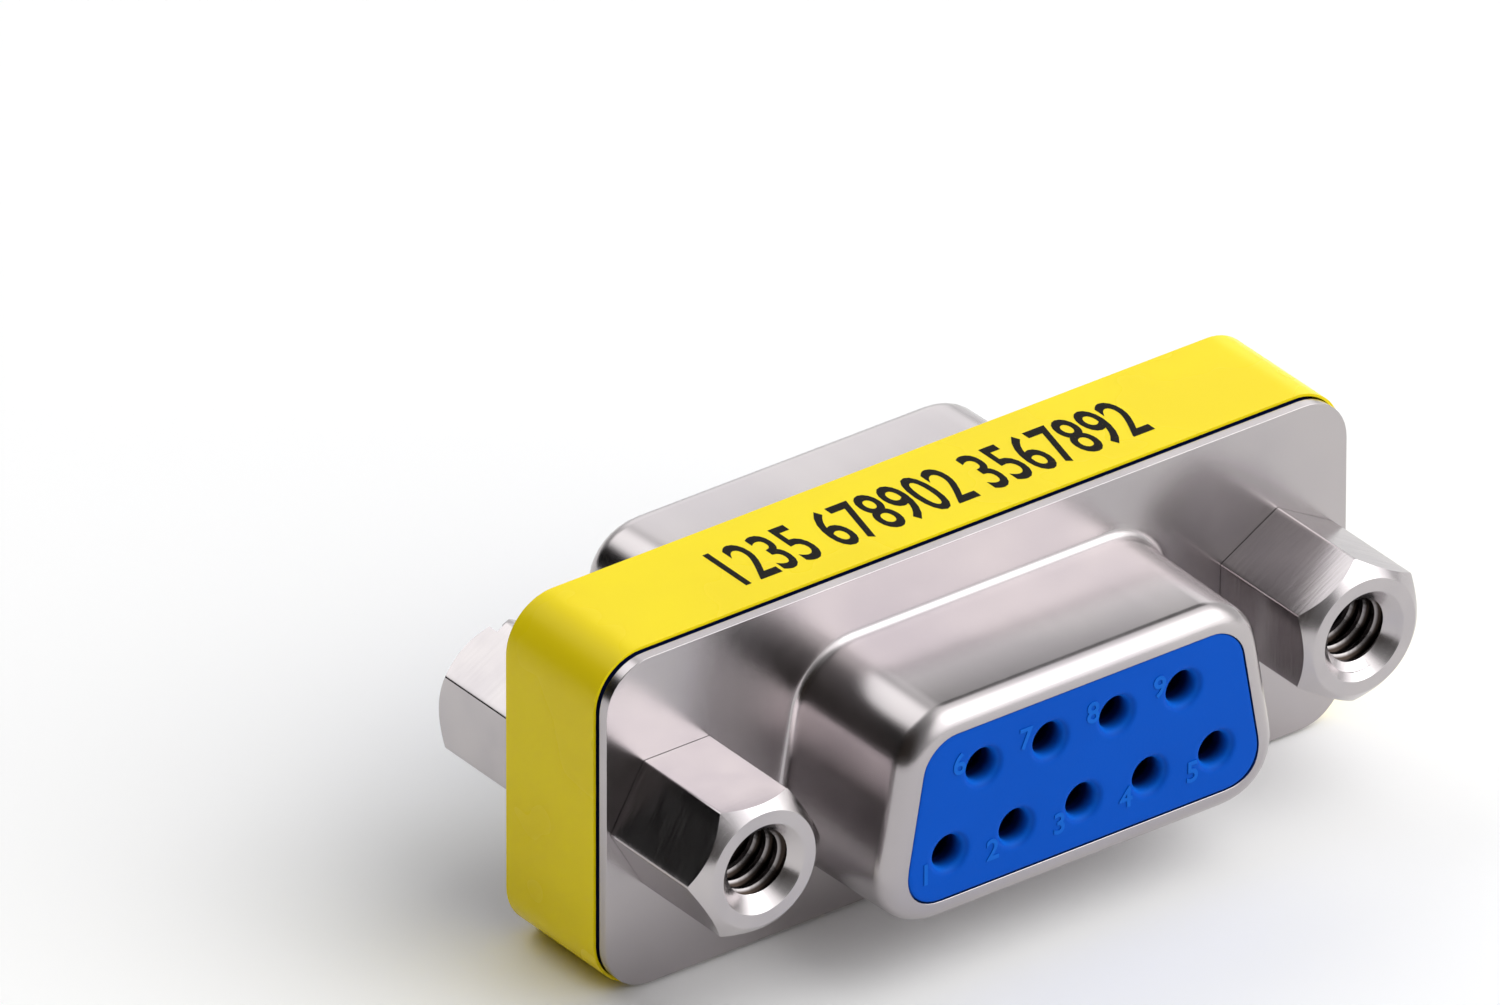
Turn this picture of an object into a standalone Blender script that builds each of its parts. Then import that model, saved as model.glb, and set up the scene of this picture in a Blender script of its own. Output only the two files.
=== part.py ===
"""Nine-way D-sub gender changer, sockets on both sides.

Two equal halves stand back to back. Each is a drawn sheet shell with a flange and a D-shaped nose,
a moulded insulator that fills the nose, and nine rolled socket contacts. The rear half is the front
half turned half a turn about the long axis, so that each contact meets the one of its own number.
The contacts' tails are lapped in a pocket between the insulators. Two slotted jackscrews run through
both halves into two hexagon posts and clamp them, and a printed label is wound round the middle.

X runs along the flanges, the front nose points to -Y and Z is up. The part lies on the long side of
its flanges, with the origin under its middle. Sizes are in metres. Inside a half, "out" is the
distance from the plane where the halves meet, towards the nose.
"""
import math

import bmesh
import bpy
from mathutils import Matrix, Vector

# Contact pattern
WIDE_ROW = 5
NARROW_ROW = 4
PITCH = 0.00277
ROW_SPACING = 0.00284

# Drawn shell
SHEET = 0.0004
SIDE_MARGIN = 0.00261
ROW_MARGIN = 0.00253
NOSE_CORNER = 0.0022
NOSE_SLANT = math.radians(10)
NOSE_RISE = 0.0058
NOSE_DRAFT = 0.0001
ROOT_FILLET = 0.0003
LIP_INNER_RADIUS = 0.0004
LIP_LAND = 0.00005
SCREW_OFFSET = 0.004345
END_MARGIN = 0.002905
FLANGE_BORDER = 0.0023
FLANGE_CORNER = 0.0018

# Insulator
CORE_DEPTH = 0.0046
BASE_INSET = 0.00012
SHELL_FIT = 0.00003
MATING_GAP = 0.00004
FACE_SINK = 0.00003
HOLE_RADIUS = 0.0006
HOLE_MOUTH = 0.00025
FRONT_WALL = 0.0009
POCKET_WEB = 0.00095
POCKET_MARGIN = 0.0003
POCKET_CORNER = 0.0006

# Rolled contact
STRIP = 0.0002
BARREL_RADIUS = 0.00076
BARREL_ROLL = math.radians(336)
WAIST_PINCH = 0.00012
WAIST_PLACE = 0.0008
WAIST_END = 0.0024
MOUTH_FLARE = 0.00004
COLLAR_PLACE = 0.0013
COLLAR_RISE = 0.0001
COLLAR_LENGTH = 0.0008
COLLAR_FIT = 0.00002
MOUTH_CLEARANCE = 0.0005
TROUGH_ROLL = math.radians(170)
TAIL_WIDTH = 0.0009
TAIL_BEND_PLACE = 0.0006
TAIL_BEND_RUN = 0.0005
TAIL_LAP = 0.0006
SOLDER_GAP = 0.00004

# Posts and jackscrews
ACROSS_FLATS = 0.00476
POST_LENGTH = 0.00475
END_LAND = 0.00013
END_CHAMFER = math.radians(45)
SHANK_RADIUS = 0.00135
SHANK_CLEARANCE = 0.00025
SHANK_GRIP = 0.002
SHANK_CHAMFER = 0.0003
THREAD_GAP = 0.00007
COUNTERSINK = 0.00025
BLIND_END = 0.001
SLOT_WIDTH = 0.0008
SLOT_DEPTH = 0.0008
POST_SEAT = 0.00002

# Label
LABEL_THICKNESS = 0.0001
LABEL_GAP = 0.00002
LABEL_REVEAL = 0.00015
LABEL_EDGE = 0.00004
LABEL_LAP = 0.005
LABEL_STEP_RUN = 0.0008

# Worked out from the sizes above
NOSE_WIDTH = (WIDE_ROW - 1) * PITCH + 2 * SIDE_MARGIN
NOSE_HEIGHT = ROW_SPACING + 2 * ROW_MARGIN
SCREW_X = NOSE_WIDTH / 2 + SCREW_OFFSET
FLANGE_LENGTH = 2 * (SCREW_X + END_MARGIN)
FLANGE_HEIGHT = NOSE_HEIGHT + 2 * FLANGE_BORDER
LIP_RADIUS = LIP_INNER_RADIUS + SHEET
FLANGE_BACK = CORE_DEPTH / 2
FLANGE_FACE = FLANGE_BACK + SHEET
NOSE_TIP = FLANGE_FACE + NOSE_RISE
CAVITY_RADIUS = BARREL_RADIUS + COLLAR_RISE + COLLAR_FIT
POCKET_DEPTH = FLANGE_BACK - POCKET_WEB
SCREW_HOLE = SHANK_RADIUS + SHANK_CLEARANCE
THREAD_RADIUS = SHANK_RADIUS + THREAD_GAP
MIDDLE_Z = FLANGE_HEIGHT / 2 + LABEL_GAP + LABEL_THICKNESS

# Fineness of the round stretches
CORNER_STEPS = 5
ROLL_STEPS = 4
ROLLED_STRIPS = 7
ROUND_STEPS = 24
HOLE_STEPS = 14
SHARP_ANGLE = math.radians(26)
QUARTER = math.pi / 2
OVERSHOOT = 0.0002
MERGE_DISTANCE = 0.000001


def clear_scene():
    for old in list(bpy.data.objects):
        bpy.data.objects.remove(old, do_unlink=True)


def new_collection(name):
    collection = bpy.data.collections.new(name)
    bpy.context.scene.collection.children.link(collection)
    return collection


def new_material(name, colour, roughness, metallic):
    material = bpy.data.materials.new(name)
    material.use_nodes = True
    shader = material.node_tree.nodes["Principled BSDF"]
    shader.inputs["Base Color"].default_value = (*colour, 1)
    shader.inputs["Roughness"].default_value = roughness
    shader.inputs["Metallic"].default_value = metallic
    material.diffuse_color = (*colour, 1)
    return material


def mesh_of(name, bm):
    mesh = bpy.data.meshes.new(name)
    bm.to_mesh(mesh)
    bm.free()
    return mesh


def blank(name, mesh):
    """An object that is only a blank or a cutter for another piece."""
    piece = bpy.data.objects.new(name, mesh)
    piece.hide_render = True
    piece.display_type = "WIRE"
    TOOLING.objects.link(piece)
    return piece


def combine(piece, tool, operation):
    step = piece.modifiers.new(f"{operation.lower()} {tool.name}", "BOOLEAN")
    step.operation = operation
    step.solver = "EXACT"
    step.object = tool


def finished_mesh(name, piece):
    """The piece's mesh with its modifiers applied; the blank itself is dropped."""
    bpy.context.view_layer.update()
    graph = bpy.context.evaluated_depsgraph_get()
    mesh = bpy.data.meshes.new_from_object(piece.evaluated_get(graph))
    mesh.name = name
    bpy.data.objects.remove(piece)
    return mesh


def place(name, mesh, material, half, location=(0, 0, 0), rotation=(0, 0, 0)):
    """One copy of a finished mesh, as a node of its own in one half of the part."""
    piece = bpy.data.objects.new(name, mesh)
    PART.objects.link(piece)
    piece.parent = half
    piece.location = location
    piece.rotation_euler = rotation
    if not mesh.materials:
        mesh.materials.append(material)
    mesh.shade_smooth()
    mesh.set_sharp_from_angle(angle=SHARP_ANGLE)
    return piece


def arc(centre_x, centre_z, radius, start, end, steps):
    """Points of an arc in the XZ plane; the angles are in radians."""
    angles = [start + (end - start) * i / steps for i in range(steps + 1)]
    return [(centre_x + radius * math.cos(a), centre_z + radius * math.sin(a)) for a in angles]


def circle(centre_x, radius, steps):
    return arc(centre_x, 0, radius, 0, 2 * math.pi, steps)[:-1]


def rounded_rectangle(length, height, corner):
    x = length / 2 - corner
    z = height / 2 - corner
    outline = []
    for index, (sx, sz) in enumerate(((1, -1), (1, 1), (-1, 1), (-1, -1))):
        start = (index - 1) * QUARTER
        outline += arc(sx * x, sz * z, corner, start, start + QUARTER, CORNER_STEPS)
    return outline


def dee(grow):
    """The nose's D outline at its lip, wide side down, pushed outwards by grow."""
    radius = NOSE_CORNER + grow
    z = NOSE_HEIGHT / 2 - NOSE_CORNER
    wide = NOSE_WIDTH / 2 - NOSE_CORNER
    narrow = wide - 2 * z * math.tan(NOSE_SLANT)
    return (
        arc(wide, -z, radius, -QUARTER, NOSE_SLANT, CORNER_STEPS)
        + arc(narrow, z, radius, NOSE_SLANT, QUARTER, CORNER_STEPS)
        + arc(-narrow, z, radius, QUARTER, math.pi - NOSE_SLANT, CORNER_STEPS)
        + arc(-wide, -z, radius, math.pi - NOSE_SLANT, 3 * QUARTER, CORNER_STEPS)
    )


def add_ring(bm, outline, out):
    """A closed loop of edges along an outline, out from the middle plane."""
    verts = [bm.verts.new((x, -out, z)) for x, z in outline]
    return [bm.edges.new((verts[i - 1], verts[i])) for i in range(len(verts))]


def skin(bm, rows):
    """Lofted faces from each row of edges to the next, edge to edge."""
    for lower, upper in zip(rows, rows[1:]):
        for near, far in zip(lower, upper):
            bm.faces.new((*near.verts, *reversed(far.verts)))


def fill(bm, *rings):
    edges = [edge for ring in rings for edge in ring]
    bmesh.ops.triangle_fill(bm, use_beauty=True, use_dissolve=False, edges=edges, normal=(0, -1, 0))


def face_outwards(bm, direction):
    """Make all normals agree, the face furthest along the direction facing that way."""
    bmesh.ops.recalc_face_normals(bm, faces=bm.faces)
    furthest = max(bm.faces, key=lambda face: face.calc_center_median().dot(direction))
    if furthest.normal.dot(direction) < 0:
        bmesh.ops.reverse_faces(bm, faces=bm.faces)


def thicken(piece, thickness):
    """Give an open surface its sheet thickness, on the side away from its normals."""
    sheet = piece.modifiers.new("sheet thickness", "SOLIDIFY")
    sheet.thickness = thickness
    sheet.offset = -1
    sheet.use_even_offset = True


def turned(name, profile, steps):
    """A turned blank: the profile, from the top down its outer side, spun round Z."""
    bm = bmesh.new()
    verts = [bm.verts.new((radius, 0, z)) for radius, z in profile]
    for upper, lower in zip(verts, verts[1:]):
        bm.edges.new((upper, lower))
    piece = blank(name, mesh_of(name, bm))
    spin = piece.modifiers.new("turning", "SCREW")
    spin.steps = steps
    spin.render_steps = steps
    spin.use_merge_vertices = True
    spin.merge_threshold = MERGE_DISTANCE
    return piece


def nose_section():
    """(grow, out) stations of the shell's outer surface, from the flange over the rolled lip."""
    root = []
    for i in range(ROLL_STEPS + 1):
        a = QUARTER * i / ROLL_STEPS
        grow = NOSE_DRAFT + ROOT_FILLET * (1 - math.sin(a))
        root.append((grow, FLANGE_FACE + ROOT_FILLET * (1 - math.cos(a))))
    lip = []
    for i in range(ROLL_STEPS + 1):
        a = QUARTER * i / ROLL_STEPS
        lip.append((LIP_RADIUS * (math.cos(a) - 1), NOSE_TIP + LIP_RADIUS * (math.sin(a) - 1)))
    return root + lip + [(-LIP_RADIUS - LIP_LAND, NOSE_TIP)]


def shell_mesh():
    """Flange, nose and rolled lip as one drawn sheet."""
    bm = bmesh.new()
    rings = [add_ring(bm, dee(grow), out) for grow, out in nose_section()]
    edge = add_ring(bm, rounded_rectangle(FLANGE_LENGTH, FLANGE_HEIGHT, FLANGE_CORNER), FLANGE_FACE)
    holes = [add_ring(bm, circle(side * SCREW_X, SCREW_HOLE, HOLE_STEPS), FLANGE_FACE) for side in (-1, 1)]
    fill(bm, edge, rings[0], *holes)
    skin(bm, rings)
    face_outwards(bm, Vector((0, -1, 0)))
    piece = blank("shell", mesh_of("shell", bm))
    thicken(piece, SHEET)
    return finished_mesh("drawn shell", piece)


def insulator_section():
    """(grow, out) stations of the insulator's nose, a shell fit inside the sheet all the way."""
    fillet = ROOT_FILLET + SHEET + SHELL_FIT
    root = []
    for i in range(ROLL_STEPS + 1):
        a = QUARTER * i / ROLL_STEPS
        grow = NOSE_DRAFT + ROOT_FILLET - fillet * math.sin(a)
        root.append((grow, FLANGE_FACE + ROOT_FILLET - fillet * math.cos(a)))
    shoulder = []
    radius = LIP_INNER_RADIUS - SHELL_FIT
    for i in range(ROLL_STEPS + 1):
        a = QUARTER * i / ROLL_STEPS
        shoulder.append((radius * math.cos(a) - LIP_RADIUS, NOSE_TIP - LIP_RADIUS + radius * math.sin(a)))
    edge = -LIP_RADIUS - LIP_LAND - SHELL_FIT
    boss = [(edge, out) for out in (shoulder[-1][1], NOSE_TIP - FACE_SINK)]
    return root + shoulder + boss


def contact_places():
    """(number, x, z) of each contact, seen from the front of its half."""
    places = []
    for i in range(WIDE_ROW):
        places.append((1 + i, (i - (WIDE_ROW - 1) / 2) * PITCH, -ROW_SPACING / 2))
    for i in range(NARROW_ROW):
        places.append((1 + WIDE_ROW + i, (i - (NARROW_ROW - 1) / 2) * PITCH, ROW_SPACING / 2))
    return places


def cavity_cutter():
    """The nine stepped bores that hold the contacts, countersunk at the face."""
    face = NOSE_TIP - FACE_SINK
    wall = NOSE_TIP - FRONT_WALL
    profile = [
        (0, face + OVERSHOOT),
        (HOLE_RADIUS + HOLE_MOUTH + OVERSHOOT, face + OVERSHOOT),
        (HOLE_RADIUS, face - HOLE_MOUTH),
        (HOLE_RADIUS, wall),
        (CAVITY_RADIUS, wall),
        (CAVITY_RADIUS, POCKET_DEPTH - OVERSHOOT),
        (0, POCKET_DEPTH - OVERSHOOT),
    ]
    bore = finished_mesh("cavity bore", turned("cavity bore", profile, HOLE_STEPS))
    bm = bmesh.new()
    for number, x, z in contact_places():
        start = len(bm.verts)
        bm.from_mesh(bore)
        bm.verts.ensure_lookup_table()
        bmesh.ops.transform(
            bm,
            matrix=Matrix.Translation((x, 0, z)) @ Matrix.Rotation(QUARTER, 4, "X"),
            verts=bm.verts[start:],
        )
    return blank("cavities", mesh_of("cavities", bm))


def pocket_cutter():
    """The pocket behind the web, where the tails are lapped and soldered."""
    bm = bmesh.new()
    reach = CAVITY_RADIUS + POCKET_MARGIN
    size = ((WIDE_ROW - 1) * PITCH + 2 * reach, 2 * POCKET_DEPTH, ROW_SPACING + 2 * reach)
    bmesh.ops.create_cube(bm, size=1, matrix=Matrix.Diagonal((*size, 1)))
    along = [edge for edge in bm.edges if abs(edge.verts[0].co.y - edge.verts[1].co.y) > POCKET_DEPTH]
    bmesh.ops.bevel(
        bm, geom=along, offset=POCKET_CORNER, segments=CORNER_STEPS, profile=0.5, affect="EDGES", material=-1
    )
    return blank("pocket", mesh_of("pocket", bm))


def screw_hole_cutter(side):
    bm = bmesh.new()
    along_y = Matrix.Translation((side * SCREW_X, 0, 0)) @ Matrix.Rotation(QUARTER, 4, "X")
    bmesh.ops.create_cone(
        bm,
        cap_ends=True,
        segments=HOLE_STEPS,
        radius1=SCREW_HOLE,
        radius2=SCREW_HOLE,
        depth=2 * CORE_DEPTH,
        matrix=along_y,
    )
    return blank(f"screw hole {side}", mesh_of("screw hole", bm))


def insulator_mesh():
    """A flange-sized base with the D-shaped nose on it, bored for contacts and screws."""
    bm = bmesh.new()
    base = rounded_rectangle(
        FLANGE_LENGTH - 2 * BASE_INSET, FLANGE_HEIGHT - 2 * BASE_INSET, FLANGE_CORNER - BASE_INSET
    )
    back = add_ring(bm, base, MATING_GAP / 2)
    shoulder = add_ring(bm, base, FLANGE_BACK - SHELL_FIT)
    rings = [add_ring(bm, dee(grow), out) for grow, out in insulator_section()]
    fill(bm, back)
    skin(bm, [back, shoulder])
    fill(bm, shoulder, rings[0])
    skin(bm, rings)
    fill(bm, rings[-1])
    bmesh.ops.recalc_face_normals(bm, faces=bm.faces)
    piece = blank("insulator", mesh_of("insulator", bm))
    combine(piece, cavity_cutter(), "DIFFERENCE")
    combine(piece, pocket_cutter(), "DIFFERENCE")
    for side in (-1, 1):
        combine(piece, screw_hole_cutter(side), "DIFFERENCE")
    return finished_mesh("moulded insulator", piece)


def contact_section():
    """(out, radius, roll, spine) stations of the strip, from the socket's mouth to the tail's end.

    The radius is that of the strip's outer side and the roll is the angle that it spans. The spine
    is how far the middle of the strip lies below the socket's axis.
    """
    mouth = NOSE_TIP - FRONT_WALL - MOUTH_CLEARANCE
    barrel_end = POCKET_DEPTH + STRIP
    collar = barrel_end + COLLAR_PLACE
    bend = barrel_end - TAIL_BEND_PLACE
    barrel = [
        (mouth, MOUTH_FLARE),
        (mouth - WAIST_PLACE, -WAIST_PINCH),
        (mouth - WAIST_END, 0),
        (collar + COLLAR_LENGTH, 0),
        (collar + COLLAR_LENGTH / 2, COLLAR_RISE),
        (collar, 0),
        (barrel_end, 0),
    ]
    stations = []
    for out, change in barrel:
        radius = BARREL_RADIUS + change
        stations.append((out, radius, BARREL_ROLL, radius))
    flat = 4 * BARREL_RADIUS
    tail = ROW_SPACING / 2 - SOLDER_GAP / 2
    stations.append((barrel_end - STRIP / 2, BARREL_RADIUS, TROUGH_ROLL, BARREL_RADIUS))
    stations.append((bend, flat, TAIL_WIDTH / flat, BARREL_RADIUS))
    stations.append((bend - TAIL_BEND_RUN, flat, TAIL_WIDTH / flat, tail))
    stations.append((-TAIL_LAP, flat, TAIL_WIDTH / flat, tail))
    return stations


def contact_mesh():
    """A socket rolled from strip with its seam open, and its flat tail cranked to the middle."""
    bm = bmesh.new()
    rows = []
    for out, radius, roll, spine in contact_section():
        start = -QUARTER - roll / 2
        section = arc(0, radius - spine, radius, start, start + roll, ROLLED_STRIPS)
        verts = [bm.verts.new((x, -out, z)) for x, z in section]
        rows.append([bm.edges.new(pair) for pair in zip(verts, verts[1:])])
    skin(bm, rows)
    face_outwards(bm, Vector((0, 0, -1)))
    piece = blank("contact", mesh_of("contact", bm))
    thicken(piece, STRIP)
    return finished_mesh("rolled contact", piece)


def hexagon_blank(name):
    """Hexagon bar with one end turned to a chamfer, its seat at the origin."""
    corner = ACROSS_FLATS / math.sqrt(3)
    bm = bmesh.new()
    bmesh.ops.create_cone(
        bm,
        cap_ends=True,
        segments=6,
        radius1=corner,
        radius2=corner,
        depth=POST_LENGTH + OVERSHOOT,
        matrix=Matrix.Translation((0, 0, (POST_LENGTH + OVERSHOOT) / 2)),
    )
    bar = blank(name, mesh_of(name, bm))
    land = ACROSS_FLATS / 2 - END_LAND
    reach = corner + OVERSHOOT
    profile = [
        (0, POST_LENGTH),
        (land, POST_LENGTH),
        (reach, POST_LENGTH - (reach - land) * math.tan(END_CHAMFER)),
        (reach, -OVERSHOOT),
        (0, -OVERSHOOT),
    ]
    combine(bar, turned(f"{name} turning", profile, ROUND_STEPS), "INTERSECT")
    return bar


def bore_cutter(name, bottom):
    """The threaded bore with its countersunk mouth, down to the bottom, at its thread's outside."""
    flare = THREAD_RADIUS + COUNTERSINK + OVERSHOOT
    profile = [
        (0, POST_LENGTH + OVERSHOOT),
        (flare, POST_LENGTH + OVERSHOOT),
        (THREAD_RADIUS, POST_LENGTH - COUNTERSINK),
        (THREAD_RADIUS, bottom),
        (0, bottom - THREAD_RADIUS / math.sqrt(3)),
    ]
    return turned(name, profile, ROUND_STEPS)


def post_mesh():
    """Plain hexagon post, bored right through."""
    piece = hexagon_blank("post")
    combine(piece, bore_cutter("post bore", -OVERSHOOT), "DIFFERENCE")
    return finished_mesh("hexagon post", piece)


def jackscrew_mesh():
    """Hexagon head, slotted from corner to corner, with a blind bore and the shank that clamps the part."""
    shank_end = -(2 * FLANGE_FACE + 2 * POST_SEAT + SHANK_GRIP)
    profile = [
        (0, BLIND_END / 2),
        (SHANK_RADIUS, BLIND_END / 2),
        (SHANK_RADIUS, shank_end + SHANK_CHAMFER),
        (SHANK_RADIUS - SHANK_CHAMFER, shank_end),
        (0, shank_end),
    ]
    piece = hexagon_blank("jackscrew")
    combine(piece, turned("shank", profile, ROUND_STEPS), "UNION")
    combine(piece, bore_cutter("jackscrew bore", BLIND_END + THREAD_RADIUS / math.sqrt(3)), "DIFFERENCE")
    bm = bmesh.new()
    size = (SLOT_WIDTH, 2 * ACROSS_FLATS, 2 * SLOT_DEPTH)
    seat = Matrix.Translation((0, 0, POST_LENGTH)) @ Matrix.Diagonal((*size, 1))
    bmesh.ops.create_cube(bm, size=1, matrix=seat)
    combine(piece, blank("slot", mesh_of("slot", bm)), "DIFFERENCE")
    return finished_mesh("slotted jackscrew", piece)


def label_path():
    """(x, z) points along the label, from its inner end round to the end that laps over it."""
    half_x = FLANGE_LENGTH / 2 + LABEL_GAP
    half_z = FLANGE_HEIGHT / 2 + LABEL_GAP
    corner = FLANGE_CORNER + LABEL_GAP
    x = half_x - corner
    z = half_z - corner
    step = LABEL_THICKNESS + LABEL_GAP
    points = [(half_x, LABEL_LAP / 2)]
    for sx, sz, start in ((1, -1, 4), (-1, -1, 3), (-1, 1, 2), (1, 1, 1)):
        points += arc(sx * x, sz * z, corner, start * QUARTER, (start - 1) * QUARTER, CORNER_STEPS)
    points.append((half_x, LABEL_LAP / 2 + LABEL_STEP_RUN))
    points.append((half_x + step, LABEL_LAP / 2 + LABEL_GAP))
    points.append((half_x + step, -LABEL_LAP / 2))
    return points


def label_mesh():
    """The label strip, wound once round the core and the rear flange and lapped on itself at one end.

    Its front edge stops short of the front flange and leaves a narrow gap there.
    """
    bm = bmesh.new()
    edges = []
    for y in (LABEL_REVEAL - FLANGE_BACK, FLANGE_FACE - LABEL_EDGE):
        verts = [bm.verts.new((x, y, z)) for x, z in label_path()]
        edges.append([bm.edges.new(pair) for pair in zip(verts, verts[1:])])
    skin(bm, edges)
    face_outwards(bm, Vector((0, 0, -1)))
    bmesh.ops.reverse_faces(bm, faces=bm.faces)
    piece = blank("label", mesh_of("label", bm))
    thicken(piece, LABEL_THICKNESS)
    return finished_mesh("label strip", piece)


def half_frame(name, turn):
    """The empty that carries one half; the rear one is turned half a turn about X."""
    empty = bpy.data.objects.new(name, None)
    PART.objects.link(empty)
    empty.location = (0, 0, MIDDLE_Z)
    empty.rotation_euler = (turn, 0, 0)
    return empty


clear_scene()
PART = new_collection("dsub_gender_changer")
TOOLING = new_collection("blanks and cutters")

NICKEL = new_material("nickel-plated sheet", (0.72, 0.69, 0.70), 0.22, 1.0)
BLUE = new_material("blue moulding", (0.01, 0.12, 0.60), 0.45, 0.0)
GOLD = new_material("gold-flashed brass", (0.83, 0.62, 0.25), 0.28, 1.0)
BRIGHT = new_material("bright nickel", (0.70, 0.70, 0.73), 0.16, 1.0)
YELLOW = new_material("yellow label film", (0.95, 0.78, 0.02), 0.38, 0.0)

FRONT = half_frame("front_half", 0)
REAR = half_frame("rear_half", math.pi)

SHELL = shell_mesh()
INSULATOR = insulator_mesh()
CONTACT = contact_mesh()
for name, half in (("front", FRONT), ("rear", REAR)):
    place(f"{name}_shell", SHELL, NICKEL, half)
    place(f"{name}_insulator", INSULATOR, BLUE, half)
    for number, x, z in contact_places():
        turn = 0 if z > 0 else math.pi
        place(f"{name}_contact_{number}", CONTACT, GOLD, half, (x, 0, z), (0, turn, 0))

POST = post_mesh()
JACKSCREW = jackscrew_mesh()
seat = -(FLANGE_FACE + POST_SEAT)
for side, x, post_turn, screw_turn in (("left", -SCREW_X, QUARTER, 0), ("right", SCREW_X, 0, QUARTER)):
    place(f"front_post_{side}", POST, BRIGHT, FRONT, (x, seat, 0), (QUARTER, post_turn, 0))
    place(f"rear_jackscrew_{side}", JACKSCREW, BRIGHT, REAR, (x, seat, 0), (QUARTER, screw_turn, 0))

place("label_band", label_mesh(), YELLOW, FRONT)
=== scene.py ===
import math

import bmesh
import bpy
from mathutils import Matrix, Vector


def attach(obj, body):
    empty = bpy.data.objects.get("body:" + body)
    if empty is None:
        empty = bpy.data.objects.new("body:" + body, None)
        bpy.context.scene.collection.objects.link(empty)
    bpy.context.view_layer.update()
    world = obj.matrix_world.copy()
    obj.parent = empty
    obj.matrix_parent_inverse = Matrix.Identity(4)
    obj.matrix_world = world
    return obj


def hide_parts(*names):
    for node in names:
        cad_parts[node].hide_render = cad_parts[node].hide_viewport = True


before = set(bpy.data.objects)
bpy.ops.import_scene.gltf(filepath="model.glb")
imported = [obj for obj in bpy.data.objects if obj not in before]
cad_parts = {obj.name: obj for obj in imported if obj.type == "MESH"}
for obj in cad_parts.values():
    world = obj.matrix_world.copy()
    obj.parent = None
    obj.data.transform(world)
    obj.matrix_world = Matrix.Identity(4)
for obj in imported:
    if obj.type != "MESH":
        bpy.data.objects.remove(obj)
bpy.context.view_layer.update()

# Camera, room, floor and light. A long lens looks down on the part's front from its left. The part
# lies on a plain pale floor under one large softbox over its right side, and the room is darker on
# its left, which is what draws the metal's dark and bright bands.
azimuth = math.radians(-37.063)
elevation = math.radians(30.543)
roll = math.radians(0.113)
distance = 1.3811
shift_right = 0.007562
shift_up = 0.006329
flange_middle = Vector((0, -0.0027, 0.00637))
back = Vector((
    math.sin(azimuth) * math.cos(elevation),
    -math.cos(azimuth) * math.cos(elevation),
    math.sin(elevation),
))
level = Vector((0, 0, 1)).cross(back).normalized()
right = math.cos(roll) * level + math.sin(roll) * back.cross(level)
up = back.cross(right)


def put_in_scene(name, data):
    thing = bpy.data.objects.new(name, data)
    bpy.context.scene.collection.objects.link(thing)
    return thing


lens = bpy.data.cameras.new("camera")
lens.lens = 1000
lens.sensor_width = 36
lens.clip_end = 10
camera = put_in_scene("camera", lens)
camera.matrix_world = Matrix.Translation(
    flange_middle - shift_right * right + shift_up * up + distance * back
) @ Matrix((right, up, back)).transposed().to_4x4()
bpy.context.scene.camera = camera
bpy.context.scene.view_settings.view_transform = "Standard"


class Channel:
    """An output of a shader node, on which Python's own operators add Math nodes."""

    def __init__(self, shading, socket):
        self.shading = shading
        self.socket = socket

    def math(self, operation, *values):
        return self.shading.node("ShaderNodeMath", {"operation": operation}, dict(enumerate(values)))

    def __add__(self, other):
        return self.math("ADD", self, other)

    def __sub__(self, other):
        return self.math("SUBTRACT", self, other)

    def __rsub__(self, other):
        return self.math("SUBTRACT", other, self)

    def __mul__(self, other):
        return self.math("MULTIPLY", self, other)

    def __abs__(self):
        return self.math("ABSOLUTE", self)

    __radd__ = __add__
    __rmul__ = __mul__


class Shading:
    """The node tree of a material or of the world, and the shader that its patterns feed."""

    def __init__(self, owner, shader):
        owner.use_nodes = True
        self.tree = owner.node_tree
        self.shader = self.tree.nodes[shader]

    def node(self, kind, settings, inputs, output=0):
        """A new node's output; its settings go on first, then its sockets' values and links."""
        made = self.tree.nodes.new(kind)
        for name, value in settings.items():
            setattr(made, name, value)
        for name, value in inputs.items():
            self.feed(made.inputs[name], value)
        return Channel(self, made.outputs[output])

    def feed(self, socket, value):
        if isinstance(value, Channel):
            self.tree.links.new(value.socket, socket)
        else:
            socket.default_value = value

    def give(self, name, value):
        """Set or feed one of the shader's own sockets."""
        self.feed(self.shader.inputs[name], value)

    def part_of(self, vector, axis):
        return self.node("ShaderNodeSeparateXYZ", {}, {0: vector}, axis)

    def ramped(self, value, low, high, start=0, end=1):
        """The value's way from low to high, eased in and out, on a scale from start to end."""
        limits = {0: value, 1: low, 2: high, 3: start, 4: end}
        return self.node("ShaderNodeMapRange", {"interpolation_type": "SMOOTHSTEP"}, limits)

    def mixed(self, share, colour, other):
        """From one colour at a share of 0 to the other at 1."""
        return self.node("ShaderNodeMix", {"data_type": "RGBA"}, {0: share, 6: colour, 7: other}, 2)


world = bpy.data.worlds.new("room")
bpy.context.scene.world = world
room = Shading(world, "Background")
direction = room.node("ShaderNodeTexCoord", {}, {}, "Generated")


def lobe(aim, start, end):
    """From 0 to 1 as the direction turns towards the aim; start and end are cosines."""
    dot = {"operation": "DOT_PRODUCT"}
    ends = {0: direction, 1: Vector(aim).normalized()}
    return room.ramped(room.node("ShaderNodeVectorMath", dot, ends, "Value"), start, end)


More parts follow.
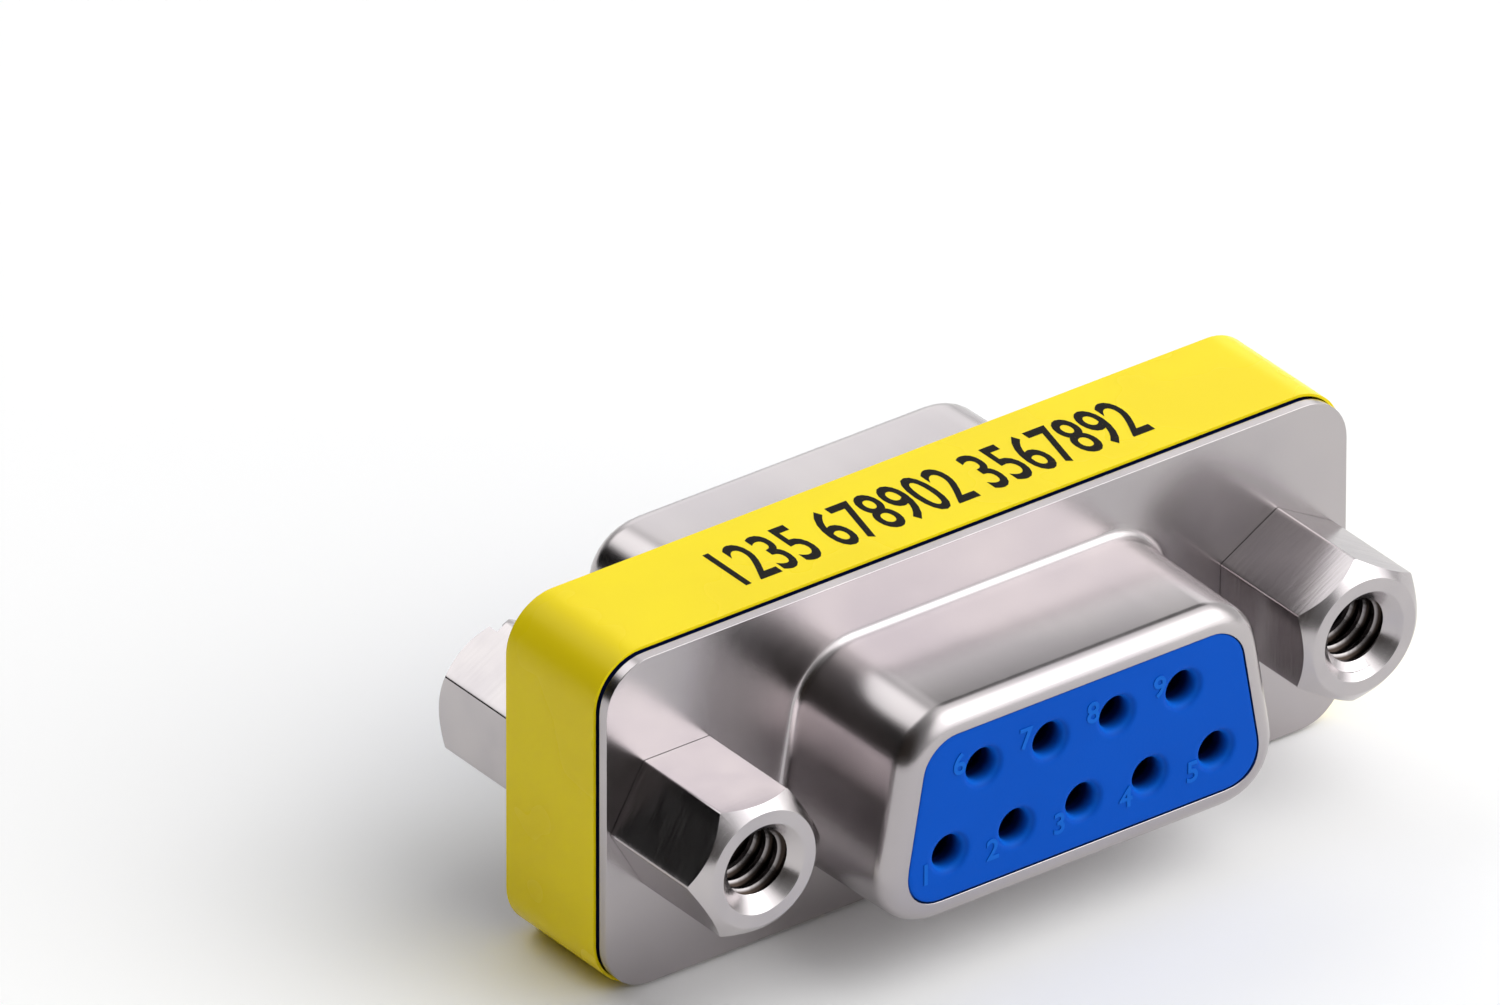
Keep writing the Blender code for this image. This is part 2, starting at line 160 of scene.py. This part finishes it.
# What the metal mirrors: walls that darken and grow warm to the left, a window on the camera's
# right, a ceiling, and behind the part a skylight, a pale wall, a dark doorway and a dark beam.
sideways = room.part_of(direction, "X")
walls = room.ramped(sideways, -0.8, 0.4, 0.03, 0.76)
window = lobe((0.52, -0.62, 0.59), 0.70, 0.92)
ceiling = lobe((0.50, -0.15, 0.85), 0.80, 0.96)
doorway = lobe((-0.70, 0.69, 0.18), 0.80, 0.95)
beam = lobe((0.52, 0.50, 0.69), 0.972, 0.993)
rear_wall = lobe((0.52, 0.75, 0.42), 0.90, 0.98)
skylight = lobe((-0.18, 0.69, 0.70), 0.92, 0.98)
glow = walls + 1.3 * window + 0.66 * ceiling + 0.85 * rear_wall + 1.45 * skylight
glow = glow * (1 - doorway) * (1 - 0.95 * beam)
tint = room.mixed(room.ramped(sideways, -0.95, -0.4), (1, 0.76, 0.58, 1), (1, 1, 1, 1))
room.give("Color", room.node("ShaderNodeVectorMath", {"operation": "SCALE"}, {0: tint, "Scale": glow}))


def plain_finish(name, colour, metallic, roughness):
    """A material, its shading and the place on the piece that its patterns read."""
    material = bpy.data.materials.new(name)
    coat = Shading(material, "Principled BSDF")
    coat.give("Base Color", (*colour, 1))
    coat.give("Metallic", metallic)
    coat.give("Roughness", roughness)
    return material, coat, coat.node("ShaderNodeTexCoord", {}, {}, "Object")


floor_drop = 0.00003
floor_form = bmesh.new()
bmesh.ops.create_grid(
    floor_form, x_segments=1, y_segments=1, size=1.5, matrix=Matrix.Translation((0, 0, -floor_drop))
)
floor_mesh = bpy.data.meshes.new("floor")
floor_form.to_mesh(floor_mesh)
floor = put_in_scene("floor", floor_mesh)
paper, coat, place = plain_finish("pale floor", (0.97, 0.97, 0.97), 0.0, 0.95)
coat.give("Specular IOR Level", 0.1)
floor_mesh.materials.append(paper)

softbox_light = bpy.data.lights.new("softbox", "AREA")
softbox_light.shape = "SQUARE"
softbox_light.size = 0.20
softbox_light.energy = 0.205
softbox = put_in_scene("softbox", softbox_light)
softbox.location = (0.182, -0.217, 0.206)
softbox.rotation_mode = "QUATERNION"
softbox.rotation_quaternion = (-softbox.location).to_track_quat("-Z", "Y")

# The drawn shells. Each is one 0.4 mm steel sheet, pressed to a flange and a D-shaped nose whose
# lip rolls inwards over the moulding, and then nickel plated. The front one's nose has its narrow
# side up. The rear one is the same piece turned half a turn about the part's long axis.
sheet = 0.0004
flange_length = 0.0308
flange_height = 0.0125
flange_corner = 0.0018
flange_back = 0.0023
flange_face = flange_back + sheet
screw_across = 0.012495
screw_hole = 0.0016
nose_tip = 0.0085
nose_corner = 0.0022
nose_slant = math.radians(10)
corner_height = 0.00175
corner_across = 0.00595
draft = 0.0001
root_radius = 0.0003
lip_radius = 0.0008
lip_land = 0.00005
sheared_round = 0.0001
middle_height = 0.00637
front_place = Matrix.Translation((0, 0, middle_height))
rear_place = front_place @ Matrix.Rotation(math.pi, 4, "X")
halves = (("front", front_place), ("rear", rear_place))


def nose_corners(grow):
    """The D outline's corners (x, z, radius), its wide side down, pushed outwards by grow."""
    radius = nose_corner + grow
    rise = corner_height + radius
    side = corner_across + radius / math.cos(nose_slant) - corner_height * math.tan(nose_slant)
    low = side + rise * math.tan(nose_slant)
    high = side - rise * math.tan(nose_slant)
    return (-low, -rise, radius), (low, -rise, radius), (high, rise, radius), (-high, rise, radius)


def plate_corners(inset):
    """The same for the flange's outline, drawn in by inset."""
    x = flange_length / 2 - inset
    z = flange_height / 2 - inset
    radius = flange_corner - inset
    return (-x, -z, radius), (x, -z, radius), (x, z, radius), (-x, z, radius)


def rounded_face(bm, corners, out):
    """A flat face that looks out along -Y, with those corners rounded."""
    sketch = bmesh.new()
    verts = [sketch.verts.new((x, -out, z)) for x, z, radius in corners]
    sketch.faces.new(verts)
    reaches = []
    for i, (x, z, radius) in enumerate(corners):
        before = verts[i - 1].co - verts[i].co
        after = verts[(i + 1) % len(verts)].co - verts[i].co
        reaches.append(radius / math.tan(before.angle(after) / 2))
    for vert, reach in zip(verts, reaches):
        bmesh.ops.bevel(
            sketch, geom=[vert], affect="VERTICES", offset=reach, segments=10, profile=0.5, material=-1
        )
    sketch.faces.ensure_lookup_table()
    face = bm.faces.new([bm.verts.new(vert.co) for vert in sketch.faces[0].verts])
    face.normal_update()
    return face


def stepped(bm, face, inwards, out=0.0):
    """Draw a face in on all its sides and then out along its normal, with walls behind it."""
    bmesh.ops.inset_region(
        bm, faces=[face], thickness=inwards, depth=out, use_boundary=True, use_even_offset=True
    )


def outline_only(bm, face):
    """Take a face away and return the edges round it."""
    edges = list(face.edges)
    bmesh.ops.delete(bm, geom=[face], context="FACES_ONLY")
    return edges


def edges_among(bm, verts):
    members = set(verts)
    return [edge for edge in bm.edges if members.issuperset(edge.verts)]


def ring_of_edges(bm, x, z, out, radius):
    circle = Matrix.Translation((x, -out, z)) @ Matrix.Rotation(math.pi / 2, 4, "X")
    made = bmesh.ops.create_circle(bm, cap_ends=False, radius=radius, segments=32, matrix=circle)
    return edges_among(bm, made["verts"])


def folds_beyond(bm, out):
    """The sharp folds of a form that lie further out than that."""
    folds = [edge for edge in bm.edges if len(edge.link_faces) == 2]
    sharp = math.radians(70)
    return [e for e in folds if e.calc_face_angle() > sharp and -e.verts[0].co.y > out]


def round_over(bm, edges, radius, segments):
    bmesh.ops.bevel(
        bm, geom=edges, affect="EDGES", offset=radius, segments=segments, profile=0.5, material=-1
    )


def filled_flat(bm, edges):
    """Fill the flat ground between an outline and the holes in it."""
    bmesh.ops.triangle_fill(bm, edges=edges, use_beauty=True, normal=(0, -1, 0))


def settled(name, bm, place, material, slot_name, *nodes, sharp=35):
    """The finished piece in its place, riding on the part and standing for its nodes."""
    mesh = bpy.data.meshes.new(name)
    bm.to_mesh(mesh)
    mesh.transform(place)
    mesh.shade_smooth()
    mesh.set_sharp_from_angle(angle=math.radians(sharp))
    mesh.materials.append(material)
    piece = put_in_scene(name, mesh)
    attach(piece, "root")
    if nodes:
        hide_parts(*nodes)
    return piece


def noise(coat, place, scale, detail=2.0):
    """A soft mottle whose blots are about 1 / scale metres across."""
    return coat.node("ShaderNodeTexNoise", {}, {"Vector": place, "Scale": scale, "Detail": detail})


def streaks(coat, place, scales, detail):
    """The same with a scale for each axis."""
    stretched = coat.node("ShaderNodeMapping", {}, {"Vector": place, "Scale": scales})
    return noise(coat, stretched, 1, detail)


def bumped(coat, height, depth):
    return coat.node("ShaderNodeBump", {}, {"Height": height, "Distance": depth, "Strength": 1})


nickel, coat, place = plain_finish("nickel-plated sheet", (0.45, 0.42, 0.44), 1.0, 0.22)
cloud = noise(coat, place, 180)
grain = noise(coat, place, 9000, 3)
drawn = streaks(coat, place, (1500, 110, 1500), 1)
pale_nickel = (0.472, 0.442, 0.445, 1)
deep_nickel = (0.435, 0.407, 0.418, 1)
coat.give("Base Color", coat.mixed(coat.ramped(cloud, 0.35, 0.65), pale_nickel, deep_nickel))
coat.give("Roughness", 0.15 + 0.05 * drawn + 0.10 * cloud)
coat.give("Normal", bumped(coat, 0.6 * drawn + 0.4 * grain, 0.000001))

# The nose rises from a narrow skirt of flange; the rest of the flange is filled in round it last.
# The cuts after the roundings keep the shading of the flat walls between them flat.
skirt = 0.0005
wall_cuts = (flange_face + root_radius + 0.00004, 0.0060)
shell_form = bmesh.new()
nose = rounded_face(shell_form, nose_corners(draft + skirt), flange_face)
stepped(shell_form, nose, skirt)
stepped(shell_form, nose, draft, nose_tip - flange_face)
stepped(shell_form, nose, lip_radius + lip_land)
bmesh.ops.delete(shell_form, geom=[nose], context="FACES")
round_over(shell_form, folds_beyond(shell_form, nose_tip - lip_radius), lip_radius, 9)
round_over(shell_form, folds_beyond(shell_form, 0), root_radius, 6)
for out in wall_cuts:
    bmesh.ops.bisect_plane(
        shell_form, geom=shell_form.verts[:] + shell_form.edges[:] + shell_form.faces[:], dist=0.000001,
        plane_co=(0, -out, 0), plane_no=(0, 1, 0),
    )
flat = [e for e in shell_form.edges if len(e.link_faces) == 1 and -e.verts[0].co.y < flange_face + draft]
flat += outline_only(shell_form, rounded_face(shell_form, plate_corners(0), flange_face))
for side in (-1, 1):
    flat += ring_of_edges(shell_form, side * screw_across, 0, flange_face, screw_hole)
filled_flat(shell_form, flat)
bmesh.ops.recalc_face_normals(shell_form, faces=shell_form.faces)
if max(shell_form.faces, key=lambda face: -face.calc_center_median().y).normal.y > 0:
    bmesh.ops.reverse_faces(shell_form, faces=shell_form.faces)
for half, half_place in halves:
    shell = settled(
        f"{half}_drawn_shell", shell_form, half_place, nickel, "nickel_sheet", f"{half}_shell"
    )
    thickness = shell.modifiers.new("sheet thickness", "SOLIDIFY")
    thickness.thickness = sheet
    thickness.offset = -1
    thickness.use_even_offset = True
    edge = shell.modifiers.new("sheared edge", "BEVEL")
    edge.width = sheared_round
    edge.segments = 3
    edge.limit_method = "ANGLE"
    edge.angle_limit = math.radians(50)
    edge.harden_normals = True

# The insulators. Each is a blue moulding: a block the size of the flange, and on it the D-shaped
# nose that the shell's lip holds in, with nine countersunk holes over its contacts. The holes'
# numbers are moulded on its face, barely raised.
pitch = 0.00277
row_spacing = 0.00284
shell_fit = 0.00003
block_inset = 0.00012
half_gap = 0.00002
shoulder = 0.00807
moulding_face = 0.00847
shoulder_width = 0.00045
rim_width = 0.0002
rim_round = 0.00006
mouth_border = 0.00098
mouth_round = 0.00009
mouth_radius = 0.00078
entry_radius = 0.0006
countersink = 0.00022
entry_depth = 0.0007
chamber_radius = 0.00088
chamber_depth = 0.0056

blue, coat, place = plain_finish("blue moulding", (0.002, 0.07, 0.42), 0.0, 0.4)
cloud = noise(coat, place, 260)
pebble = noise(coat, place, 12000)
out = abs(coat.part_of(place, "Y"))
face_blue = coat.mixed(cloud, (0.0010, 0.068, 0.43, 1), (0.0014, 0.078, 0.48, 1))
# Painted highlight: the countersinks and the face's rounded rim are painted a lighter blue, standing in
# for light caught on them.
face_blue_with_painted_highlight = coat.mixed(coat.ramped(out, 0.00832, 0.00844), (0.004, 0.11, 0.56, 1), face_blue)
# Painted shade: deeper than the countersinks, the holes, the nose's sides and the block's edges down to
# the flange are painted near black, where little light reaches.
painted_shade_blue = (0.001, 0.008, 0.07, 1)
coat.give("Base Color", coat.mixed(coat.ramped(out, 0.0077, 0.00825), painted_shade_blue, face_blue_with_painted_highlight))
coat.give("Roughness", 0.34 + 0.14 * cloud)
coat.give("Normal", bumped(coat, pebble, 0.000003))
coat.give("Specular IOR Level", 0.05)

wide_row = [(1 + i, (i - 2) * pitch, -row_spacing / 2) for i in range(5)]
narrow_row = [(6 + i, (i - 1.5) * pitch, row_spacing / 2) for i in range(4)]
holes = wide_row + narrow_row


def extruded(bm, edges, vec):
    """Extrude edges along vec and return the new vertices and the edges between them."""
    grown = bmesh.ops.extrude_edge_only(bm, edges=edges)["geom"]
    verts = [part for part in grown if isinstance(part, bmesh.types.BMVert)]
    bmesh.ops.translate(bm, verts=verts, vec=vec)
    return verts, edges_among(bm, verts)


moulding_form = bmesh.new()
block_face = flange_back - shell_fit
nose = rounded_face(moulding_form, nose_corners(draft - sheet - shell_fit), block_face)
stepped(moulding_form, nose, draft, shoulder - block_face)
stepped(moulding_form, nose, shoulder_width)
stepped(moulding_form, nose, 0.0, moulding_face - shoulder)
stepped(moulding_form, nose, rim_width)
face_edges = outline_only(moulding_form, nose)
round_over(moulding_form, folds_beyond(moulding_form, moulding_face - draft), rim_round, 3)
rings = [ring_of_edges(moulding_form, x, z, moulding_face, mouth_border) for number, x, z in holes]
filled_flat(moulding_form, [e for e in face_edges + sum(rings, []) if e.is_valid])
hole_steps = (
    (mouth_radius, 0),
    (entry_radius, countersink),
    (entry_radius, entry_depth),
    (chamber_radius, 0),
    (chamber_radius, chamber_depth),
)
for (number, x, z), ring in zip(holes, rings):
    radius = mouth_border
    loops = []
    for new_radius, inwards in hole_steps:
        verts, ring = extruded(moulding_form, ring, (0, inwards, 0))
        for vert in verts:
            vert.co.x = x + (vert.co.x - x) * new_radius / radius
            vert.co.z = z + (vert.co.z - z) * new_radius / radius
        radius = new_radius
        loops.append(ring)
    bmesh.ops.edgeloop_fill(moulding_form, edges=ring)
    round_over(moulding_form, loops[0] + loops[1], mouth_round, 3)
root = [e for e in moulding_form.edges if len(e.link_faces) == 1 and -e.verts[0].co.y < flange_back]
block = outline_only(moulding_form, rounded_face(moulding_form, plate_corners(block_inset), block_face))
filled_flat(moulding_form, block + root)
verts, block_end = extruded(moulding_form, block, (0, block_face - half_gap, 0))
bmesh.ops.edgeloop_fill(moulding_form, edges=block_end)
bmesh.ops.recalc_face_normals(moulding_form, faces=moulding_form.faces)
for half, half_place in halves:
    settled(
        f"{half}_moulding", moulding_form, half_place, blue, "blue_moulding", f"{half}_insulator"
    )


def lettering(text, size, thickness, weight, fit=None):
    """Figures in the XY plane, centred on the origin, stretched to a length and height if given."""
    curve = bpy.data.curves.new("figures", "FONT")
    curve.body = text
    curve.size = size
    curve.align_x = "CENTER"
    curve.align_y = "CENTER"
    curve.extrude = thickness
    curve.resolution_u = 4
    curve.offset = weight
    holder = put_in_scene("figures", curve)
    bpy.context.view_layer.update()
    graph = bpy.context.evaluated_depsgraph_get()
    bm = bmesh.new()
    bm.from_mesh(bpy.data.meshes.new_from_object(holder.evaluated_get(graph)))
    bpy.data.objects.remove(holder)
    bmesh.ops.remove_doubles(bm, verts=bm.verts, dist=0.000001)
    low = Vector([min(vert.co[axis] for vert in bm.verts) for axis in (0, 1)] + [0])
    high = Vector([max(vert.co[axis] for vert in bm.verts) for axis in (0, 1)] + [0])
    bmesh.ops.translate(bm, verts=bm.verts, vec=-(low + high) / 2)
    if fit:
        length, height = (high - low).xy
        bmesh.ops.scale(bm, verts=bm.verts, vec=(fit[0] / length, fit[1] / height, 1))
    return bm


# Painted highlight: the figures are the moulding's own plastic, painted a lighter blue than the face to
# stand in for light caught on their low relief.
raised, coat, place = plain_finish("raised figures", (0.006, 0.11, 0.54), 0.0, 0.4)
cloud = noise(coat, place, 900)
coat.give("Base Color", coat.mixed(cloud, (0.004, 0.10, 0.50, 1), (0.008, 0.13, 0.58, 1)))
coat.give("Roughness", 0.34 + 0.14 * cloud)
coat.give("Specular IOR Level", 0.05)
number_size = 0.0011
number_thickness = 0.00003
number_weight = 0.00002
number_aside = 0.00102
wide_row_drop = -0.00045
narrow_row_drop = 0.00048
number_form = bmesh.new()
for row, drop in ((wide_row, wide_row_drop), (narrow_row, narrow_row_drop)):
    for number, x, z in row:
        digit = lettering(str(number), number_size, number_thickness, number_weight)
        beside_hole = Matrix.Translation((x - number_aside, -moulding_face, z + drop))
        upright = Matrix.Rotation(math.pi / 2, 4, "X")
        bmesh.ops.transform(digit, matrix=beside_hole @ upright, verts=digit.verts)
        digit_mesh = bpy.data.meshes.new("digit")
        digit.to_mesh(digit_mesh)
        number_form.from_mesh(digit_mesh)
for half, half_place in halves:
    settled(f"{half}_moulded_numbers", number_form, half_place, raised, "blue_moulding")

# The contacts. Each is rolled from thin brass strip with a flash of gold. They stand deep in the
# moulding, so the solids of the part serve as they are, with their own finish.
gold, coat, place = plain_finish("gold-flashed brass", (0.83, 0.62, 0.25), 1.0, 0.28)
cloud = noise(coat, place, 2500)
bare_gold = (0.86, 0.64, 0.26, 1)
worn_gold = (0.70, 0.50, 0.20, 1)
coat.give("Base Color", coat.mixed(coat.ramped(cloud, 0.3, 0.7), bare_gold, worn_gold))
coat.give("Roughness", 0.22 + 0.16 * cloud)
coat.give("Normal", bumped(coat, cloud, 0.000003))
for name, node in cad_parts.items():
    if "_contact_" in name:
        for material_slot in node.material_slots:
            material_slot.material = gold

# The hexagon posts of the front. Each is turned from hexagon bar, chamfered at its end, drilled,
# countersunk and tapped with a 4-40 thread, and screwed onto the end of a jackscrew.
across_flats = 0.00476
bar_length = 0.02
corner_round = 0.00007
post_length = 0.00475
end_inset = 0.00018
end_ring = across_flats / 2 - end_inset
end_ease_in = 0.00006
end_ease_down = 0.00004
chamfer_reach = 0.0032
mouth = 0.00163
mouth_ease_in = 0.00004
mouth_ease_out = 0.00003
mouth_ease_down = 0.00005
thread_outside = 0.00142
thread_inside = 0.00114
thread_pitch = 0.000635
groove_overlap = 0.0001
run_out = 0.0004
seat_gap = 0.00002
seat = flange_face + seat_gap

bright, coat, place = plain_finish("bright nickel on bar", (0.465, 0.445, 0.47), 1.0, 0.16)
cloud = noise(coat, place, 500)
turned = streaks(coat, place, (700, 9000, 700), 2)
pale_nickel = (0.50, 0.47, 0.472, 1)
deep_nickel = (0.455, 0.427, 0.438, 1)
plated = coat.mixed(coat.ramped(cloud, 0.3, 0.7), pale_nickel, deep_nickel)
# Painted shade: from just below its mouth a bore is painted near black, half as much on the thread's
# crests as in its grooves. Little plating gets down into the thread, but this dark is painted shade.
painted_bore_shade = (0.03, 0.022, 0.018, 1)
from_axis = abs(coat.part_of(place, "X")) - screw_across
from_middle = coat.part_of(place, "Z") - middle_height
off_axis = from_axis * from_axis + from_middle * from_middle
groove = coat.ramped(off_axis, (thread_inside + 0.00002) ** 2, (thread_inside + 0.00012) ** 2, 0.5, 1)
inside = coat.ramped(off_axis, (mouth - 0.00006) ** 2, (mouth - 0.00012) ** 2)
post_end = flange_face + post_length
deep = coat.ramped(abs(coat.part_of(place, "Y")), post_end - 0.00045, post_end - 0.00058)
coat.give("Base Color", coat.mixed(groove * inside * deep, plated, painted_bore_shade))
coat.give("Roughness", 0.12 + 0.14 * turned + 0.06 * cloud)
coat.give("Normal", bumped(coat, turned, 0.000002))


def spun(*profile):
    """A closed profile of (radius, height) points turned once round Z."""
    bm = bmesh.new()
    verts = [bm.verts.new((radius, 0, z)) for radius, z in profile]
    edges = [bm.edges.new((verts[i - 1], verts[i])) for i in range(len(verts))]
    bmesh.ops.spin(
        bm, geom=verts + edges, cent=(0, 0, 0), axis=(0, 0, 1), angle=2 * math.pi, steps=96,
        use_merge=True,
    )
    bmesh.ops.remove_doubles(bm, verts=bm.verts, dist=0.0000005)
    bmesh.ops.recalc_face_normals(bm, faces=bm.faces)
    return bm


def cut_together(bm, tool, operation):
    """One closed form cut by another, as a new bmesh."""
    blanks = []
    for form in (bm, tool):
        mesh = bpy.data.meshes.new("form")
        form.to_mesh(mesh)
        form.free()
        blanks.append(put_in_scene("form", mesh))
    cut = blanks[0].modifiers.new("cut", "BOOLEAN")
    cut.object = blanks[1]
    cut.operation = operation
    bpy.context.view_layer.update()
    graph = bpy.context.evaluated_depsgraph_get()
    made = bmesh.new()
    made.from_mesh(bpy.data.meshes.new_from_object(blanks[0].evaluated_get(graph)))
    for blank in blanks:
        bpy.data.objects.remove(blank)
    return made


def hexagon_bar(turned_form):
    """Hexagon bar with softened corners, cut to the turned form."""
    bm = bmesh.new()
    corner_radius = across_flats / math.sqrt(3)
    bmesh.ops.create_cone(
        bm, cap_ends=True, segments=6, radius1=corner_radius, radius2=corner_radius,
        depth=bar_length, matrix=Matrix.Translation((0, 0, -0.2 * bar_length)),
    )
    upright = [e for e in bm.edges if abs(e.verts[0].co.z - e.verts[1].co.z) > corner_round]
    round_over(bm, upright, corner_round, 3)
    return cut_together(bm, turned_form, "INTERSECT")


def tapped(bm, bottom, top):
    """The form with the thread's groove cut into its bore from bottom to top."""
    steps = 40
    turns = (top - bottom) / thread_pitch
    root_width = 0.00006
    mouth_width = 0.0006
    section = (
        (thread_inside - groove_overlap, -mouth_width / 2),
        (thread_outside, -root_width / 2),
        (thread_outside, root_width / 2),
        (thread_inside - groove_overlap, mouth_width / 2),
    )
    coil = bmesh.new()
    verts = [coil.verts.new((radius, 0, bottom + z)) for radius, z in section]
    edges = [coil.edges.new((verts[i - 1], verts[i])) for i in range(len(verts))]
    coil.faces.new(verts)
    end = bmesh.ops.spin(
        coil, geom=verts + edges, cent=(0, 0, 0), axis=(0, 0, 1), dvec=(0, 0, thread_pitch / steps),
        angle=2 * math.pi * turns, steps=round(steps * turns),
    )["geom_last"]
    bmesh.ops.edgeloop_fill(coil, edges=[part for part in end if isinstance(part, bmesh.types.BMEdge)])
    bmesh.ops.recalc_face_normals(coil, faces=coil.faces)
    return cut_together(bm, coil, "DIFFERENCE")


def out_of_flange(x, turn):
    """Stands a form on the flange at x, turned about its own axis."""
    lying = Matrix.Rotation(turn, 4, "Y") @ Matrix.Rotation(math.pi / 2, 4, "X")
    return Matrix.Translation((x, -seat, 0)) @ lying


head_outline = (
    (end_ring - end_ease_in, post_length),
    (end_ring, post_length - end_ease_down),
    (chamfer_reach, post_length - (chamfer_reach - end_ring)),
)
bore_outline = (
    (thread_inside, post_length - (mouth - thread_inside)),
    (mouth - mouth_ease_in, post_length - mouth_ease_down),
    (mouth + mouth_ease_out, post_length),
)
post_form = hexagon_bar(spun(*head_outline, (chamfer_reach, 0), (thread_inside, 0), *bore_outline))
post_form = tapped(post_form, -run_out, post_length + run_out)
for side, x, turn in (("left", -screw_across, math.pi / 2), ("right", screw_across, 0)):
    settled(
        f"front_hexagon_post_{side}", post_form, front_place @ out_of_flange(x, turn), bright,
        "bright_nickel", f"front_post_{side}", sharp=15,
    )

# The jackscrews of the rear. Each is turned from the same bar: a hexagon head with a screwdriver
# slot and a blind tapped hole, and a shank that runs through both halves into a front post.
shank_radius = 0.00135
shank_grip = 0.00204
shank_end = -(2 * flange_face + shank_grip)
shank_chamfer = 0.0003
blind_end = 0.001
drill_point = 0.00066
thread_bottom = 0.0022
slot_width = 0.0008
slot_depth = 0.0008
screw_form = hexagon_bar(
    spun(
        *head_outline,
        (chamfer_reach, 0),
        (shank_radius, 0),
        (shank_radius, shank_end + shank_chamfer),
        (shank_radius - shank_chamfer, shank_end),
        (0, shank_end),
        (0, blind_end),
        (thread_inside, blind_end + drill_point),
        *bore_outline,
    )
)
screw_form = tapped(screw_form, thread_bottom, post_length + run_out)
slot_form = bmesh.new()
slot_size = Matrix.Diagonal((slot_width, 2 * across_flats, 2 * slot_depth, 1))
bmesh.ops.create_cube(slot_form, size=1, matrix=Matrix.Translation((0, 0, post_length)) @ slot_size)
screw_form = cut_together(screw_form, slot_form, "DIFFERENCE")
for side, x, turn in (("left", -screw_across, 0), ("right", screw_across, math.pi / 2)):
    settled(
        f"rear_slotted_jackscrew_{side}", screw_form, rear_place @ out_of_flange(x, turn), bright,
        "bright_nickel", f"rear_jackscrew_{side}", sharp=15,
    )

# The label. It is one strip of yellow film, wound once round the edges of both flanges and lapped
# on itself at the right end, with black figures printed on both long sides.
half_length = 0.01542
half_rise = 0.00627
film_front = -0.00215
film_rear = 0.00266
film_thickness = 0.0001
film_bend = 0.00182
lap = 0.0025
lap_step = 0.00012
lap_run = 0.0008
lap_bend = 0.00002
print_span = (0.017, 0.0025)
print_size = 0.0036
print_thickness = 0.000004
print_weight = 0.00004
print_gap = 0.000003
print_aside = 0.0001
print_back = 0.00015

film, coat, place = plain_finish("yellow label film", (0.93, 0.735, 0.008), 0.0, 0.27)
cloud = noise(coat, place, 220)
ripple = streaks(coat, place, (300, 700, 300), 2)
bright_yellow = (0.94, 0.75, 0.006, 1)
deep_yellow = (0.91, 0.715, 0.009, 1)
coat.give("Base Color", coat.mixed(coat.ramped(cloud, 0.35, 0.65), bright_yellow, deep_yellow))
coat.give("Roughness", 0.22 + 0.10 * cloud)
coat.give("Normal", bumped(coat, ripple, 0.000004))
coat.give("Specular IOR Level", 0.1)

band_form = bmesh.new()
path = (
    (half_length, lap),
    (half_length, -half_rise),
    (-half_length, -half_rise),
    (-half_length, half_rise),
    (half_length, half_rise),
    (half_length, lap + lap_run),
    (half_length + lap_step, lap + lap_bend),
    (half_length + lap_step, -lap),
)
verts = [band_form.verts.new((x, film_front, z)) for x, z in path]
edges = [band_form.edges.new(pair) for pair in zip(verts, verts[1:])]
extruded(band_form, edges, (0, film_rear - film_front, 0))
across = [e for e in band_form.edges if len(e.link_faces) == 2]
bends = [e for e in across if abs(abs(e.verts[0].co.z) - half_rise) < film_thickness]
round_over(band_form, bends, film_bend, 14)
bmesh.ops.recalc_face_normals(band_form, faces=band_form.faces)
if max(band_form.faces, key=lambda face: face.calc_center_median().z).normal.z < 0:
    bmesh.ops.reverse_faces(band_form, faces=band_form.faces)
bmesh.ops.solidify(band_form, geom=band_form.faces, thickness=-film_thickness)
bmesh.ops.recalc_face_normals(band_form, faces=band_form.faces)
settled("wound_label", band_form, front_place, film, "label_film", "label_band", sharp=50)

ink, coat, place = plain_finish("black print", (0.012, 0.012, 0.014), 0.0, 0.45)
speck = noise(coat, place, 9000)
full_ink = (0.006, 0.005, 0.004, 1)
thin_ink = (0.035, 0.025, 0.006, 1)
coat.give("Base Color", coat.mixed(coat.ramped(speck, 0.62, 0.72), full_ink, thin_ink))
coat.give("Roughness", 0.38 + 0.2 * speck)
coat.give("Specular IOR Level", 0.05)
figures = lettering("1235 678902 3567892", print_size, print_thickness, print_weight, print_span)
print_height = half_rise + film_thickness + print_gap
upper_side = Matrix.Translation((print_aside, print_back, print_height))
lower_side = Matrix.Rotation(math.pi, 4, "X") @ Matrix.Translation((print_aside, 0, print_height))
settled("upper_print", figures, front_place @ upper_side, ink, "label_film")
settled("lower_print", figures, front_place @ lower_side, ink, "label_film")
